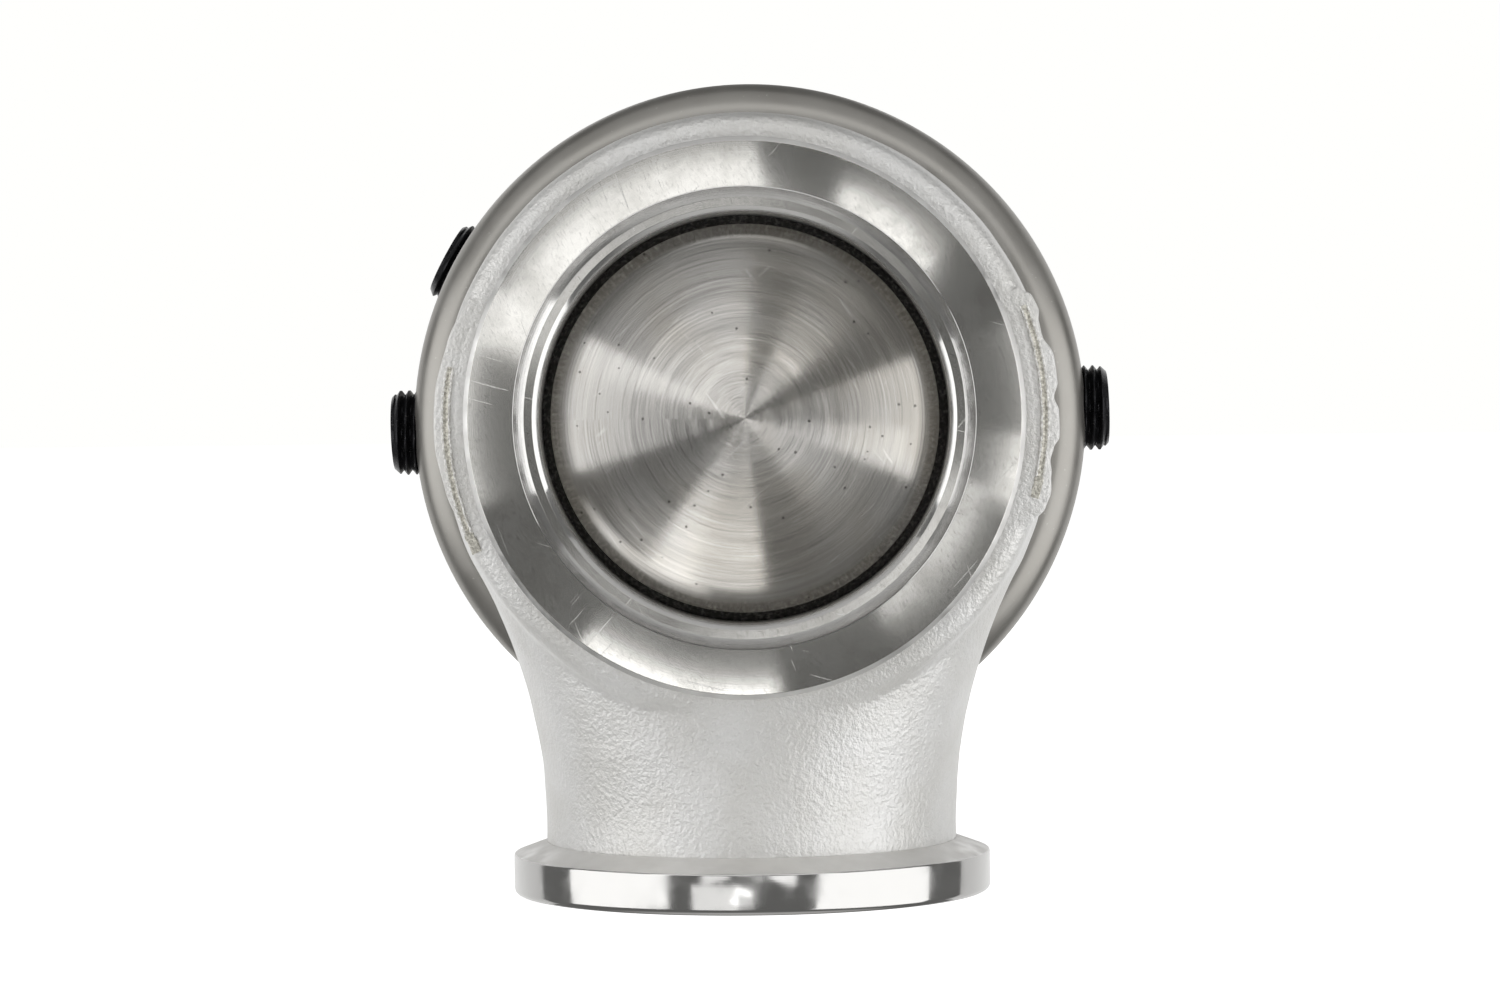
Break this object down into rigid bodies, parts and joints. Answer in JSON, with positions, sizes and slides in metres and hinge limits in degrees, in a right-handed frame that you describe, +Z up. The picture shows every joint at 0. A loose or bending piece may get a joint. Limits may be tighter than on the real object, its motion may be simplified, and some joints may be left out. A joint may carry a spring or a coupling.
{
  "type": "external wastegate valve",
  "caption": "Poppet valve in a cast elbow body with V-band inlet and outlet flanges, opened by a spring-loaded diaphragm actuator.",
  "frame": {"origin": "on the plane of the outlet flange's face, at the centre of the whole object's box seen from above", "axes": "+Z up from the outlet flange; the valve axis runs along Y, 51.05 mm above the origin, with the inlet facing -Y and the actuator towards +Y; +X to the right seen from the inlet"},
  "size_m": [0.0832, 0.097, 0.0898],
  "materials": {
    "cast_stainless": "bead-blasted casting with brushed flange faces",
    "seat_steel": "turned and polished",
    "valve_steel": "fine turned",
    "guide_bronze": "turned bronze",
    "heat_gasket": "pressed fibre, matt",
    "anodised_aluminium": "satin grey anodised",
    "black_oxide": "black oxide",
    "diaphragm_silicone": "moulded, matt",
    "seal_rubber": "moulded",
    "plate_aluminium": "turned",
    "plated_steel": "zinc plated",
    "spring_steel": "oiled spring wire"
  },
  "bodies": {
    "housing": {"valve_body": "cast_stainless", "seat_ring": "seat_steel", "stem_guide": "guide_bronze", "heat_gasket": "heat_gasket", "actuator_base": "anodised_aluminium", "actuator_cap": "anodised_aluminium", "stem_seal": "seal_rubber", "seal_retainer": "plated_steel", "diaphragm": "diaphragm_silicone", "outer_spring": "spring_steel", "inner_spring": "spring_steel", "port_plug_right": "black_oxide", "port_plug_left": "black_oxide", "port_plug_cap": "black_oxide", "base_screw_1": "black_oxide", "base_screw_2": "black_oxide", "base_screw_3": "black_oxide", "base_screw_4": "black_oxide", "cap_screw_1": "black_oxide", "cap_screw_2": "black_oxide", "cap_screw_3": "black_oxide", "cap_screw_4": "black_oxide", "cap_screw_5": "black_oxide", "cap_screw_6": "black_oxide"},
    "valve_train": {"valve": "valve_steel", "lower_plate": "plate_aluminium", "upper_plate": "plate_aluminium", "plate_washer": "plated_steel", "lock_nut": "plated_steel"}
  },
  "joints": [
    {"name": "valve_lift", "type": "slide", "parent": "housing", "child": "valve_train", "axis": [0, 1, 0], "range_m": [0, 0.0085], "stiffness_N_per_m": 6000, "springref_m": -0.015, "deforming": ["outer_spring", "inner_spring", "diaphragm"]}
  ]
}
